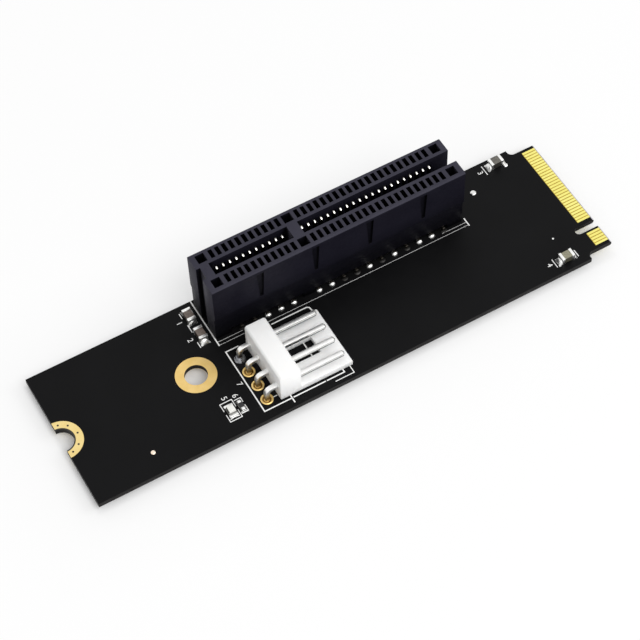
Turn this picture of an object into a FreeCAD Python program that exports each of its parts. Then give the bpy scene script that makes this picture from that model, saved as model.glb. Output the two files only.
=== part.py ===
import FreeCAD, Part
import os
import re
import Sketcher

# Driving dimensions in millimetres, angles in degrees, and counts
SIZES = {
    # Circuit board, measured from its screw-notch end and its front edge
    "board_length": 80.0,
    "board_thickness": 0.8,
    "shoulder_depth": 1.075,
    "tongue_length": 4.0,
    "tongue_fillet": 0.8,
    "tongue_bevel": 0.2,
    "copper_thickness": 0.04,
    # Edge fingers: odd pins on the top face, even pins on the underside
    "finger_pitch": 0.5,
    "finger_width": 0.35,
    "finger_length": 2.0,
    "finger_setback": 0.25,
    "finger_edge_margin": 0.5,
    "key_notch_width": 1.2,
    "key_notch_depth": 3.5,
    # Screw notch at the end and screw hole further along
    "end_notch_radius": 1.75,
    "end_ring_width": 1.25,
    "mid_hole_from_end": 20.0,
    "mid_hole_diameter": 3.2,
    "mid_ring_width": 1.25,
    # Card slot, placed by its closed end and its centre plane
    "slot_from_end": 25.0,
    "slot_from_back": 4.15,
    "slot_height": 11.2,
    "slot_floor": 3.2,
    "slot_end_wall": 3.0,
    "closed_end_wall": 1.9,
    "card_gap": 2.1,
    "rim_width": 0.5,
    "rim_height": 1.3,
    "cavity_depth": 1.4,
    "outer_wall": 0.55,
    "top_chamfer": 0.2,
    "skirt_height": 4.5,
    "skirt_recess": 0.3,
    "underside_gap": 0.9,
    "foot_clearance": 0.4,
    "key_step": 3.0,
    "key_bar": 1.6,
    "key_cavity_length": 1.4,
    "end_cavity_wall": 0.8,
    "end_cavity_rib": 0.6,
    "end_cavity_depth": 5.0,
    "end_groove_width": 1.9,
    "end_groove_depth": 0.6,
    "side_groove_first": 7.2,
    "side_groove_pitch": 8.4,
    "side_groove_top_width": 1.1,
    "side_groove_foot_width": 0.5,
    "side_groove_top_drop": 0.7,
    "side_groove_length": 5.0,
    "side_groove_depth": 0.3,
    "peg_diameter": 2.3,
    "peg_clearance": 0.05,
    "peg_below": 0.6,
    "peg_chamfer": 0.3,
    "peg_from_open_end": 1.35,
    # Slot contacts
    "contact_pitch": 1.0,
    "contact_width": 0.4,
    "contact_thickness": 0.25,
    "contact_side_clearance": 0.09,
    "bulge_reach": 0.3,
    "bulge_thickness": 0.35,
    "bulge_drop": 0.45,
    "bulge_slant": 0.25,
    "tip_inset": 0.3,
    "tip_gap": 0.08,
    "stem_rise": 2.2,
    "inner_row": 1.25,
    "outer_row": 3.25,
    "foot_height": 0.3,
    "tail_below": 1.2,
    "tail_hole_clearance": 0.1,
    # Power header, placed by its first pin
    "header_from_end": 26.35,
    "header_from_front": 2.9,
    "header_pitch": 2.5,
    "header_side": 1.1,
    "wafer_setback": 1.55,
    "wafer_thickness": 3.15,
    "wafer_height": 5.0,
    "wafer_chamfer": 0.25,
    "tray_length": 7.85,
    "tray_thickness": 1.0,
    "tray_chamfer": 0.2,
    "window_length": 4.4,
    "window_setback": 0.5,
    "window_width": 2.85,
    "pin_size": 0.64,
    "pin_height": 2.1,
    "pin_bend_radius": 0.75,
    "pin_end_gap": 0.75,
    "pin_taper": 0.2,
    "pin_clearance": 0.02,
    "pin_hole_clearance": 0.06,
    # Chip capacitors, resistor and lamp
    "capacitor_length": 2.0,
    "capacitor_width": 1.25,
    "capacitor_height": 1.15,
    "resistor_length": 1.6,
    "resistor_width": 0.8,
    "resistor_height": 0.5,
    "lamp_length": 2.0,
    "lamp_width": 1.25,
    "lamp_base_height": 0.35,
    "lens_length": 1.2,
    "lens_height": 0.6,
    "lens_taper": 0.12,
    "cap_length": 0.4,
    "cap_thickness": 0.04,
    "slot_capacitor_gap": 0.9,
    "slot_capacitor_spread": 3.4,
    "edge_capacitor_from_tongue": 2.6,
    "edge_capacitor_stagger": 0.5,
    "back_capacitor_inset": 1.35,
    "front_capacitor_inset": 1.75,
    "resistor_before_header": 3.5,
    "lamp_before_header": 5.0,
    "lamp_from_front": 3.6,
}

FIRST_GROUP = 11
SECOND_GROUP = 21
HEADER_PINS = 4
SIDE_GROOVES = 4
# The edge connector numbers its positions from the back edge, half a pitch apart
MIDDLE_POSITION = 38
LAST_POSITION = 75
KEY_POSITION = 62.5
# First position and count of each group of fingers
TOP_GROUPS = ((1, 29), (67, 5))
BOTTOM_GROUPS = ((2, 29), (68, 4))

# Sizes worked out from the driving dimensions
TONGUE_WIDTH = f"({LAST_POSITION - 1} * finger_pitch / 2 + finger_width + 2 * finger_edge_margin)"
BOARD_WIDTH = f"({TONGUE_WIDTH} + 2 * shoulder_depth)"
LEFT = "-board_length / 2"
FRONT = f"-{BOARD_WIDTH} / 2"
UNDERSIDE = "tail_below"
TOP = "(tail_below + board_thickness)"
SLOT_Y = f"({BOARD_WIDTH} - slot_from_back)"
KEY_X = f"(slot_end_wall + {FIRST_GROUP - 1} * contact_pitch + key_step / 2)"
SECOND_X = f"({KEY_X} + key_step / 2)"
SLOT_LENGTH = f"({SECOND_X} + {SECOND_GROUP - 1} * contact_pitch + slot_end_wall)"
CAVITY_WIDTH = "(contact_width + 2 * contact_side_clearance)"
CAVITY_INNER = "(card_gap / 2 + rim_width)"
CAVITY_OUTER = f"({CAVITY_INNER} + cavity_depth)"
SLOT_HALF = f"({CAVITY_OUTER} + outer_wall)"
RIM_UNDERSIDE = "(slot_height - rim_height)"
STEM_TOP = "(slot_floor + stem_rise)"
PEG_X = (KEY_X, f"({SLOT_LENGTH} - peg_from_open_end)")
TAIL_HOLE = "(sqrt(contact_width ^ 2 + contact_thickness ^ 2) + 2 * tail_hole_clearance)"
PIN_HOLE = "(sqrt(2) * pin_size + 2 * pin_hole_clearance)"
MID_Y = f"{BOARD_WIDTH} / 2"
CUT_MARGIN = 1
TOLERANCE = 1e-4

doc = FreeCAD.newDocument("riser_card")
sheet = doc.addObject("Spreadsheet::Sheet", "Sizes")
for row, (alias, size) in enumerate(SIZES.items(), 1):
    sheet.set(f"A{row}", alias)
    sheet.set(f"B{row}", str(size))
    sheet.setAlias(f"B{row}", alias)
doc.recompute()
parts = []


# Expressions, sketches and features

def cells(text):
    """Write an expression with each size as its cell of the sheet."""
    return re.sub(r"[a-z]\w*", lambda word: "Sizes." + word[0] if word[0] in SIZES else word[0], str(text))


def value(text):
    return float(sheet.evalExpression(cells(text)))


def new_body(label, x, y, z):
    body = doc.addObject("PartDesign::Body", label)
    body.Label = label
    body.AllowCompound = True
    for axis, text in zip("xyz", (x, y, z)):
        body.setExpression("Placement.Base." + axis, cells(text))
    parts.append(body)
    return body


def origin(body, role):
    """A plane or an axis of the body's own origin."""
    return next(item for item in body.Origin.OriginFeatures if item.Role == role)


def new_sketch(body, role, offset="0"):
    sketch = body.newObject("Sketcher::SketchObject", "Sketch")
    sketch.AttachmentSupport = (origin(body, role), "")
    sketch.MapMode = "FlatFace"
    sketch.setExpression("AttachmentOffset.Base.z", cells(offset))
    return sketch


def hold(sketch, item, point, u, v):
    """Tie a point of the sketch to two expressions, measured from the sketch's origin."""
    for kind, text in (("DistanceX", u), ("DistanceY", v)):
        index = sketch.addConstraint(Sketcher.Constraint(kind, -1, 1, item, point, value(text)))
        sketch.setExpression(f"Constraints[{index}]", cells(text))


def polygon(sketch, points):
    corners = [FreeCAD.Vector(value(u), value(v), 0) for u, v in points]
    first = sketch.GeometryCount
    for start, end in zip(corners, corners[1:] + corners[:1]):
        sketch.addGeometry(Part.LineSegment(start, end))
    for index, (u, v) in enumerate(points):
        before = first + (index - 1) % len(points)
        sketch.addConstraint(Sketcher.Constraint("Coincident", before, 2, first + index, 1))
        hold(sketch, first + index, 1, u, v)


def rectangle(sketch, low, high):
    polygon(sketch, [low, (high[0], low[1]), high, (low[0], high[1])])


def circle(sketch, u, v, diameter):
    centre = FreeCAD.Vector(value(u), value(v), 0)
    item = sketch.addGeometry(Part.Circle(centre, FreeCAD.Vector(0, 0, 1), value(diameter) / 2))
    hold(sketch, item, 3, u, v)
    index = sketch.addConstraint(Sketcher.Constraint("Diameter", item, value(diameter)))
    sketch.setExpression(f"Constraints[{index}]", cells(diameter))


def hexagon(sketch, u, v, across):
    """A small drilled hole drawn with six sides."""
    half = f"{across} / 2"
    rise = f"sqrt(3) / 2 * {half}"
    polygon(sketch, [(f"{u} + {half}", v), (f"{u} + {half} / 2", f"{v} + {rise}"),
                     (f"{u} - {half} / 2", f"{v} + {rise}"), (f"{u} - {half}", v),
                     (f"{u} - {half} / 2", f"{v} - {rise}"), (f"{u} + {half} / 2", f"{v} - {rise}")])


def pad(body, sketch, length, reversed_way=False):
    feature = body.newObject("PartDesign::Pad", "Pad")
    feature.Profile = sketch
    feature.setExpression("Length", cells(length))
    feature.Reversed = reversed_way
    doc.recompute()
    return feature


def pocket(body, sketch, length, reversed_way=False):
    before = body.Shape.Volume
    feature = body.newObject("PartDesign::Pocket", "Pocket")
    feature.Profile = sketch
    feature.setExpression("Length", cells(length))
    feature.Reversed = reversed_way
    doc.recompute()
    if body.Shape.Volume >= before:
        raise RuntimeError(f"{body.Label}: a pocket cuts nothing")
    return feature


def row_of(body, features, role, pitch, count):
    """Repeat features along an axis of the body's origin."""
    pattern = body.newObject("PartDesign::LinearPattern", "LinearPattern")
    pattern.Originals = features
    pattern.Direction = (origin(body, role), [""])
    pattern.Mode = "Spacing"
    pattern.setExpression("Offset", cells(pitch))
    pattern.Occurrences = count
    body.Tip = pattern
    doc.recompute()
    return pattern


def edges_where(body, test):
    """Names of the edges of a body's tip whose two ends both pass a test."""
    shape = body.Tip.Shape
    return [f"Edge{index}" for index, edge in enumerate(shape.Edges, 1)
            if all(test(vertex.Point) for vertex in edge.Vertexes)]


def dress(body, kind, size_name, size, edges):
    base = body.Tip
    feature = body.newObject("PartDesign::" + kind, kind)
    feature.Base = (base, edges)
    feature.setExpression(size_name, cells(size))
    doc.recompute()
    return feature


def near(a, b):
    return abs(a - b) < TOLERANCE


# Circuit board

def finger_y(position):
    return f"({BOARD_WIDTH} / 2 - {position - MIDDLE_POSITION} * finger_pitch / 2)"


def make_board():
    body = new_body("circuit_board", LEFT, FRONT, UNDERSIDE)
    outline = new_sketch(body, "XY_Plane")
    neck = "board_length - tongue_length"
    far = f"{BOARD_WIDTH} - shoulder_depth"
    polygon(outline, [("0", "0"), (neck, "0"), (neck, "shoulder_depth"), ("board_length", "shoulder_depth"),
                      ("board_length", far), (neck, far), (neck, BOARD_WIDTH), ("0", BOARD_WIDTH)])
    pad(body, outline, "board_thickness")

    # Rounded corners beside the tongue, and a bevel along its end
    neck_x = value(neck)
    end_x = value("board_length")
    thickness = value("board_thickness")
    shoulders = (value("shoulder_depth"), value(far))
    shape = body.Tip.Shape
    corners = edges_where(body, lambda p: near(p.x, neck_x) and any(near(p.y, y) for y in shoulders))
    upright = [name for name in corners if near(shape.getElement(name).Length, thickness)]
    dress(body, "Fillet", "Radius", "tongue_fillet", upright)
    shape = body.Tip.Shape
    end = edges_where(body, lambda p: near(p.x, end_x))
    across = [name for name in end if not near(shape.getElement(name).Length, thickness)]
    dress(body, "Chamfer", "Size", "tongue_bevel", across)

    def drill(holes, outline=circle):
        sketch = new_sketch(body, "XY_Plane", "board_thickness")
        for u, v, diameter in holes:
            outline(sketch, u, v, diameter)
        return pocket(body, sketch, "board_thickness")

    drill([("0", MID_Y, "2 * end_notch_radius"), ("mid_hole_from_end", MID_Y, "mid_hole_diameter")])
    notch = new_sketch(body, "XY_Plane", "board_thickness")
    round_x = "board_length - key_notch_depth + key_notch_width / 2"
    key_y = finger_y(KEY_POSITION)
    rectangle(notch, (round_x, f"{key_y} - key_notch_width / 2"),
              (f"board_length + {CUT_MARGIN}", f"{key_y} + key_notch_width / 2"))
    pocket(body, notch, "board_thickness")
    drill([(round_x, key_y, "key_notch_width")])

    drill([(f"slot_from_end + {x}", SLOT_Y, "peg_diameter + 2 * peg_clearance") for x in PEG_X])
    hole = drill([("header_from_end", "header_from_front", PIN_HOLE)], hexagon)
    row_of(body, [hole], "Y_Axis", "header_pitch", HEADER_PINS)
    for offset, first, count in tail_groups():
        hole = drill([(f"slot_from_end + {first}", f"{SLOT_Y} + {side} * {offset}", TAIL_HOLE)
                      for side in (-1, 1)], hexagon)
        row_of(body, [hole], "X_Axis", "2 * contact_pitch", count)


def tail_groups():
    """Row offset, first place and count of each group of tails: odd contacts inner, even ones outer."""
    groups = []
    for start, count, even_first in (("slot_end_wall", FIRST_GROUP, False), (SECOND_X, SECOND_GROUP, True)):
        later = f"({start} + contact_pitch)"
        rows = ("outer_row", "inner_row") if even_first else ("inner_row", "outer_row")
        groups.append((rows[0], start, (count + 1) // 2))
        groups.append((rows[1], later, count // 2))
    return groups


# Gold fingers of the tongue

def make_fingers(label, height, positions):
    """One row of fingers: each group is its first position and its count."""
    body = new_body(label, LEFT, FRONT, height)
    end = "board_length - finger_setback"
    for position, count in positions:
        sketch = new_sketch(body, "XY_Plane")
        low = f"{finger_y(position)} - finger_width / 2"
        rectangle(sketch, (f"{end} - finger_length", low), (end, f"{low} + finger_width"))
        finger = pad(body, sketch, "copper_thickness")
        pattern = row_of(body, [finger], "Y_Axis", "finger_pitch", count)
        pattern.Reversed = True


# Gold rings of the screw hole and the end notch, one on each face of the board

def make_rings(label, x, radius, ring_width, angle):
    """Two flat rings, turned about the hole's axis and flush with its wall."""
    body = new_body(label, f"{LEFT} + {x}", "0", UNDERSIDE)
    sketch = new_sketch(body, "XZ_Plane")
    rim = f"{radius} + {ring_width}"
    rectangle(sketch, (radius, "-copper_thickness"), (rim, "0"))
    rectangle(sketch, (radius, "board_thickness"), (rim, "board_thickness + copper_thickness"))
    turn = body.newObject("PartDesign::Revolution", "Revolution")
    turn.Profile = sketch
    turn.ReferenceAxis = (sketch, ["V_Axis"])
    turn.Angle = angle
    turn.Midplane = True
    doc.recompute()


# Moulded slot housing, from its closed end, its centre plane and the board's top face

def make_housing():
    body = new_body("slot_housing", f"{LEFT} + slot_from_end", f"{FRONT} + {SLOT_Y}", TOP)
    skirt = f"({SLOT_HALF} - skirt_recess)"
    section = new_sketch(body, "YZ_Plane")
    right = [(skirt, "underside_gap"), (skirt, "skirt_height"),
             (SLOT_HALF, "skirt_height + skirt_recess"), (SLOT_HALF, "slot_height - top_chamfer"),
             (f"{SLOT_HALF} - top_chamfer", "slot_height")]
    left = [(f"-({u})", v) for u, v in right[::-1]]
    polygon(section, right + left)
    pad(body, section, SLOT_LENGTH)

    # Feet at both ends and under the key, with the locating pegs below them
    feet = new_sketch(body, "XY_Plane", "underside_gap")
    end_foot = "(slot_end_wall - contact_width / 2 - foot_clearance)"
    half_foot = "(key_step / 2 - contact_width / 2 - foot_clearance)"
    for low, high in (("0", end_foot), (f"{KEY_X} - {half_foot}", f"{KEY_X} + {half_foot}"),
                      (f"{SLOT_LENGTH} - {end_foot}", SLOT_LENGTH)):
        rectangle(feet, (low, f"-{skirt}"), (high, skirt))
    pad(body, feet, "underside_gap", True)
    pegs = new_sketch(body, "XY_Plane", "underside_gap")
    for x in PEG_X:
        circle(pegs, x, "0", "peg_diameter")
    pad(body, pegs, "underside_gap + board_thickness + peg_below", True)
    peg_tip = value("-board_thickness - peg_below")
    dress(body, "Chamfer", "Size", "peg_chamfer", edges_where(body, lambda p: near(p.z, peg_tip)))

    # Card slot: closed at one end, open at the other, parted by the key bar
    gap = new_sketch(body, "XY_Plane", "slot_height")
    for low, high in (("closed_end_wall", f"{KEY_X} - key_bar / 2"),
                      (f"{KEY_X} + key_bar / 2", f"{SLOT_LENGTH} + {CUT_MARGIN}")):
        rectangle(gap, (low, "-card_gap / 2"), (high, "card_gap / 2"))
    pocket(body, gap, "slot_height - slot_floor")

    # Plain cavities at the ends and beside the key
    plain = new_sketch(body, "XY_Plane", "slot_height")
    end_stop = f"slot_end_wall - {CAVITY_WIDTH} / 2 - end_cavity_rib"
    for low, high in (("end_cavity_wall", end_stop),
                      (f"{KEY_X} - key_cavity_length / 2", f"{KEY_X} + key_cavity_length / 2"),
                      (f"{SLOT_LENGTH} - ({end_stop})", f"{SLOT_LENGTH} - end_cavity_wall")):
        rectangle(plain, (low, CAVITY_INNER), (high, CAVITY_OUTER))
        rectangle(plain, (low, f"-{CAVITY_OUTER}"), (high, f"-{CAVITY_INNER}"))
    pocket(body, plain, "end_cavity_depth")

    # Contact cavities run through from top to underside, and open into the card slot below the rim
    for start, count in (("slot_end_wall", FIRST_GROUP), (SECOND_X, SECOND_GROUP)):
        low = f"{start} - {CAVITY_WIDTH} / 2"
        high = f"{start} + {CAVITY_WIDTH} / 2"
        shaft = new_sketch(body, "XY_Plane", "slot_height")
        rectangle(shaft, (low, CAVITY_INNER), (high, CAVITY_OUTER))
        rectangle(shaft, (low, f"-{CAVITY_OUTER}"), (high, f"-{CAVITY_INNER}"))
        shafts = pocket(body, shaft, "slot_height - underside_gap")
        window = new_sketch(body, "XY_Plane", RIM_UNDERSIDE)
        rectangle(window, (low, f"-{CAVITY_INNER}"), (high, CAVITY_INNER))
        windows = pocket(body, window, f"{RIM_UNDERSIDE} - {STEM_TOP}")
        row_of(body, [shafts, windows], "X_Axis", "contact_pitch", count)

    # Upright groove in the closed end, and tapered grooves in both long walls
    groove = new_sketch(body, "XY_Plane", "slot_height")
    half_groove = "end_groove_width / 2"
    rectangle(groove, (f"-{CUT_MARGIN}", f"-{half_groove}"), ("end_groove_depth", half_groove))
    pocket(body, groove, "slot_height")
    groove_top = "slot_height - side_groove_top_drop"
    groove_foot = f"{groove_top} - side_groove_length"
    first = "side_groove_first"
    for face, reversed_way in ((SLOT_HALF, False), (f"-{SLOT_HALF}", True)):
        taper = new_sketch(body, "XZ_Plane", face)
        polygon(taper, [(f"{first} - side_groove_top_width / 2", groove_top),
                        (f"{first} - side_groove_foot_width / 2", groove_foot),
                        (f"{first} + side_groove_foot_width / 2", groove_foot),
                        (f"{first} + side_groove_top_width / 2", groove_top)])
        cut = pocket(body, taper, "side_groove_depth", reversed_way)
        row_of(body, [cut], "X_Axis", "side_groove_pitch", SIDE_GROOVES)


# Formed slot contacts: tail, foot, stem against the cavity wall, bend into the slot, tip back under the rim

def contact_profile(row, side):
    half = "contact_thickness / 2"
    tail_outer = f"{row} + {half}"
    tail_inner = f"{row} - {half}"
    tail_tip = "-board_thickness - tail_below"
    foot_top = "foot_height + contact_thickness"
    stem_inner = f"{CAVITY_OUTER} - contact_thickness"
    bulge = "(card_gap / 2 - bulge_reach)"
    bulge_z = f"{RIM_UNDERSIDE} - bulge_drop"
    spring = [(CAVITY_OUTER, STEM_TOP), (f"{bulge} + bulge_thickness", f"{bulge_z} - bulge_slant"),
              (f"{CAVITY_INNER} + tip_inset", f"{RIM_UNDERSIDE} - tip_gap"), (bulge, bulge_z),
              (stem_inner, f"{STEM_TOP} - {half}")]
    if row == "outer_row":
        points = [(tail_outer, tail_tip), (tail_outer, foot_top), (CAVITY_OUTER, foot_top)]
        points += spring
        points += [(stem_inner, "foot_height"), (tail_inner, "foot_height"), (tail_inner, tail_tip)]
    else:
        points = [(tail_outer, tail_tip), (tail_outer, "foot_height"), (CAVITY_OUTER, "foot_height")]
        points += spring
        points += [(stem_inner, foot_top), (tail_inner, foot_top), (tail_inner, tail_tip)]
    return [(f"{side} * ({u})", v) for u, v in points]


def make_contacts():
    for side_name, side in (("front", -1), ("back", 1)):
        for row in ("inner_row", "outer_row"):
            label = f"slot_contacts_{side_name}_{row.removesuffix('_row')}"
            body = new_body(label, f"{LEFT} + slot_from_end", f"{FRONT} + {SLOT_Y}", TOP)
            for offset, first, count in tail_groups():
                if offset == row:
                    sketch = new_sketch(body, "YZ_Plane", f"{first} - contact_width / 2")
                    polygon(sketch, contact_profile(row, side))
                    strip = pad(body, sketch, "contact_width")
                    row_of(body, [strip], "X_Axis", "2 * contact_pitch", count)


# Right-angle power header, from its first pin and the board's top face

WAFER_END = "(wafer_setback + wafer_thickness)"
TRAY_END = f"({WAFER_END} + tray_length)"
HEADER_SPAN = f"({HEADER_PINS - 1} * header_pitch)"


def make_header():
    body = new_body("power_header_body", f"{LEFT} + header_from_end", f"{FRONT} + header_from_front", TOP)
    section = new_sketch(body, "XZ_Plane", "header_side")
    polygon(section, [("wafer_setback", "0"), (TRAY_END, "0"),
                      (TRAY_END, "tray_thickness - tray_chamfer"),
                      (f"{TRAY_END} - tray_chamfer", "tray_thickness"),
                      (WAFER_END, "tray_thickness"), (WAFER_END, "wafer_height - wafer_chamfer"),
                      (f"{WAFER_END} - wafer_chamfer", "wafer_height"),
                      ("wafer_setback + wafer_chamfer", "wafer_height"),
                      ("wafer_setback", "wafer_height - wafer_chamfer")])
    pad(body, section, f"{HEADER_SPAN} + 2 * header_side", True)

    # Latch window in the tray
    window = new_sketch(body, "XY_Plane", "tray_thickness")
    start = f"{WAFER_END} + window_setback"
    rectangle(window, (start, f"{HEADER_SPAN} / 2 - window_width / 2"),
              (f"{start} + window_length", f"{HEADER_SPAN} / 2 + window_width / 2"))
    pocket(body, window, "tray_thickness")

    # Square holes for the pins
    hole = new_sketch(body, "YZ_Plane", WAFER_END)
    half = "(pin_size / 2 + pin_clearance)"
    rectangle(hole, (f"-{half}", f"pin_height - {half}"), (half, f"pin_height + {half}"))
    holes = pocket(body, hole, "wafer_thickness")
    row_of(body, [holes], "Y_Axis", "header_pitch", HEADER_PINS)


def make_pin(number):
    """A square pin: up through the board, round a bend and out over the tray to a tapered tip."""
    y = f"{FRONT} + header_from_front + {number - 1} * header_pitch"
    body = new_body(f"power_pin_{number}", f"{LEFT} + header_from_end", y, TOP)
    half = "pin_size / 2"
    tip = f"{TRAY_END} - pin_end_gap"
    sketch = new_sketch(body, "XZ_Plane", half)
    polygon(sketch, [(f"-{half}", "-board_thickness - tail_below"), (half, "-board_thickness - tail_below"),
                     (half, f"pin_height - {half}"), (tip, f"pin_height - {half}"),
                     (tip, f"pin_height + {half}"), (f"-{half}", f"pin_height + {half}")])
    pad(body, sketch, "pin_size", True)
    size = value("pin_size")
    inner = (size / 2, value("pin_height") - size / 2)
    outer = (-size / 2, value("pin_height") + size / 2)
    for (x, z), sign in ((inner, "-"), (outer, "+")):
        bend = edges_where(body, lambda p: near(p.x, x) and near(p.z, z))
        dress(body, "Fillet", "Radius", f"pin_bend_radius {sign} pin_size / 2", bend)
    tip_x = value(tip)
    dress(body, "Chamfer", "Size", "pin_taper", edges_where(body, lambda p: near(p.x, tip_x)))


# Chip parts: a block with a metal cap on each end

def make_chip(label, ends_label, x, y, sizes, along_y):
    """A block whose long axis is X or Y, and its two cup-shaped end caps."""
    length, width, height = sizes
    block = new_body(label, x, y, TOP)
    half_length = f"({length} / 2 - cap_thickness)"
    half_width = f"({width} / 2 - cap_thickness)"
    sketch = new_sketch(block, "XY_Plane", "cap_thickness")
    corner = swap((half_length, half_width), along_y)
    rectangle(sketch, (f"-{corner[0]}", f"-{corner[1]}"), corner)
    pad(block, sketch, f"{height} - 2 * cap_thickness")

    caps = new_body(ends_label, x, y, TOP)
    outside = new_sketch(caps, "XY_Plane")
    inside = new_sketch(caps, "XY_Plane", "cap_thickness")
    for side in (-1, 1):
        outer_end = (f"{side} * {length} / 2", f"{side} * ({width} / 2)")
        inner_end = (f"{side} * ({length} / 2 - cap_length)", f"{side} * (-{width} / 2)")
        rectangle(outside, swap(inner_end, along_y), swap(outer_end, along_y))
        deep = (f"{side} * {half_length}", f"{side} * {half_width}")
        mouth = (f"{side} * ({length} / 2 - cap_length - cap_thickness)", f"{side} * -{half_width}")
        rectangle(inside, swap(mouth, along_y), swap(deep, along_y))
    pad(caps, outside, height)
    pocket(caps, inside, f"{height} - 2 * cap_thickness", True)


def swap(pair, along_y):
    return pair[::-1] if along_y else pair


def make_chips():
    capacitor = ("capacitor_length", "capacitor_width", "capacitor_height")
    slot_x = f"{LEFT} + slot_from_end - slot_capacitor_gap - capacitor_width / 2"
    tongue_x = f"-({LEFT}) - tongue_length - edge_capacitor_from_tongue"
    places = [(slot_x, f"{FRONT} + {SLOT_Y} + slot_capacitor_spread / 2", True),
              (slot_x, f"{FRONT} + {SLOT_Y} - slot_capacitor_spread / 2", True),
              (tongue_x, f"-({FRONT}) - back_capacitor_inset", False),
              (f"{tongue_x} - edge_capacitor_stagger", f"{FRONT} + front_capacitor_inset", False)]
    for number, (x, y, along_y) in enumerate(places, 1):
        make_chip(f"capacitor_{number}", f"capacitor_{number}_ends", x, y, capacitor, along_y)
    lamp_y = f"{FRONT} + lamp_from_front"
    make_chip("resistor_body", "resistor_ends", f"{LEFT} + header_from_end - resistor_before_header", lamp_y,
              ("resistor_length", "resistor_width", "resistor_height"), True)
    lamp_x = f"{LEFT} + header_from_end - lamp_before_header"
    make_chip("led_base", "led_ends", lamp_x, lamp_y,
              ("lamp_length", "lamp_width", "lamp_base_height"), True)
    make_lens(lamp_x, lamp_y)


def make_lens(x, y):
    """The clear block on the lamp's base, narrower at its top."""
    body = new_body("led_lens", x, y, f"{TOP} + lamp_base_height - cap_thickness")
    loft = body.newObject("PartDesign::AdditiveLoft", "Loft")
    sections = []
    for height, inset in (("0", "0"), ("lens_height", "lens_taper")):
        sketch = new_sketch(body, "XY_Plane", height)
        half_width = f"(lamp_width / 2 - cap_thickness - {inset})"
        half_length = f"(lens_length / 2 - {inset})"
        rectangle(sketch, (f"-{half_width}", f"-{half_length}"), (half_width, half_length))
        sections.append(sketch)
    loft.Profile = sections[0]
    loft.Sections = sections[1:]
    body.Tip = loft
    doc.recompute()


make_board()
make_fingers("edge_fingers_top", TOP, TOP_GROUPS)
make_fingers("edge_fingers_bottom", f"{UNDERSIDE} - copper_thickness", BOTTOM_GROUPS)
make_rings("mid_hole_rings", "mid_hole_from_end", "mid_hole_diameter / 2", "mid_ring_width", 360)
make_rings("end_notch_rings", "0", "end_notch_radius", "end_ring_width", 180)
make_housing()
make_contacts()
make_header()
for pin in range(1, HEADER_PINS + 1):
    make_pin(pin)
make_chips()
doc.recompute()

# Check every object, then write each part
for item in doc.Objects:
    if "Invalid" in item.State or "Error" in item.State:
        raise RuntimeError(f"{item.Label} failed: {item.State}")
for part in parts:
    if part.Shape.isNull() or not part.Shape.isValid():
        raise RuntimeError(f"{part.Label} has no valid shape")
os.makedirs("parts", exist_ok=True)
for part in parts:
    part.Shape.exportStep(f"parts/{part.Label}.step")
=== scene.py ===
import math
import random

import bmesh
import bpy
from mathutils import Matrix, Quaternion, Vector


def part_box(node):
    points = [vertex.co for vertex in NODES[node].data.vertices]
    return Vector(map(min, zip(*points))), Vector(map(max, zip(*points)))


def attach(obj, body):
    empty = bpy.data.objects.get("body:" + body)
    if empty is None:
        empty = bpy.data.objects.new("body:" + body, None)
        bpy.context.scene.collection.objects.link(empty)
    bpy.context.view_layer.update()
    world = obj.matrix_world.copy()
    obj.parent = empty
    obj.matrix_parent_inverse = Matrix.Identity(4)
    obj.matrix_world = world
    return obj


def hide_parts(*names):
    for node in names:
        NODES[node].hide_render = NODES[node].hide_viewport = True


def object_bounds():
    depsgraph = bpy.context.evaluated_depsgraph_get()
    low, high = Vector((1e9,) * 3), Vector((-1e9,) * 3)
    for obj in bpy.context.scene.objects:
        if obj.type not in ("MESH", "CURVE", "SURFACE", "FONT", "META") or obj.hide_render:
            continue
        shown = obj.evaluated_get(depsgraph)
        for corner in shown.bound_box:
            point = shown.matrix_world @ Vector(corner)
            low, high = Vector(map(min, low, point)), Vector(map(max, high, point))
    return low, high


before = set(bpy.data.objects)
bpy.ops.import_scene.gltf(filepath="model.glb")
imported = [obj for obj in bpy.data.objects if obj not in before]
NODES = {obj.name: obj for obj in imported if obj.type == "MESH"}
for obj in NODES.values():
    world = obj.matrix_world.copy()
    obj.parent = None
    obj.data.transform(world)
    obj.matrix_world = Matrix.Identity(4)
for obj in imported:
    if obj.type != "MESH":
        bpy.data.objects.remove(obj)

CAD_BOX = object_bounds()
BODY = "root"
MM = 0.001

BOARD_LOW, BOARD_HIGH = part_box("circuit_board")
BOARD_WIDTH = (BOARD_HIGH.y - BOARD_LOW.y) / MM
BOARD_THICKNESS = (BOARD_HIGH.z - BOARD_LOW.z) / MM
CONTACT_ROWS = [node for node in NODES if node.startswith("slot_contacts")]
POWER_PINS = [node for node in NODES if node.startswith("power_pin")]
CHIP_ENDS = [node for node in NODES if node.endswith("_ends")]

# The camera, fitted to the board's corners: millimetres in the part's frame, degrees and pixels
IMAGE_SIZE = 640
FOCAL_PIXELS = 2067
SENSOR_WIDTH = 36.0
CAMERA_AT = (-74.66, -139.47, 234.36)
CAMERA_AZIMUTH = -27.85
CAMERA_ELEVATION = 55.97
CAMERA_ROLL = -2.346
NEAREST_SEEN = 10.0

# Lamps: azimuth and elevation in degrees, distance and size in metres, power in watts
FRONT_LAMP = {"azimuth": 8, "elevation": 54, "distance": 0.6, "size": 0.35, "power": 1.45}
SIDE_LAMP = {"azimuth": 62, "elevation": 42, "distance": 0.6, "size": 0.3, "power": 0.6}

# Strength of the even light from all round, where 1 is white
WORLD_LIGHT = 0.64

# Width of the floor, in metres
FLOOR_SIZE = 4.0

# Share of plain white in the floor as the camera sees it: away from the card, beside it and under it
FLOOR_GLOW = 0.8
SHADOW_GLOW = 0.45
UNDER_GLOW = 0.1

# Distances from the card at which the last two shares have gone back to the first, in millimetres
SHADOW_REACH = 14.0
UNDER_REACH = 1.2

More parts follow.
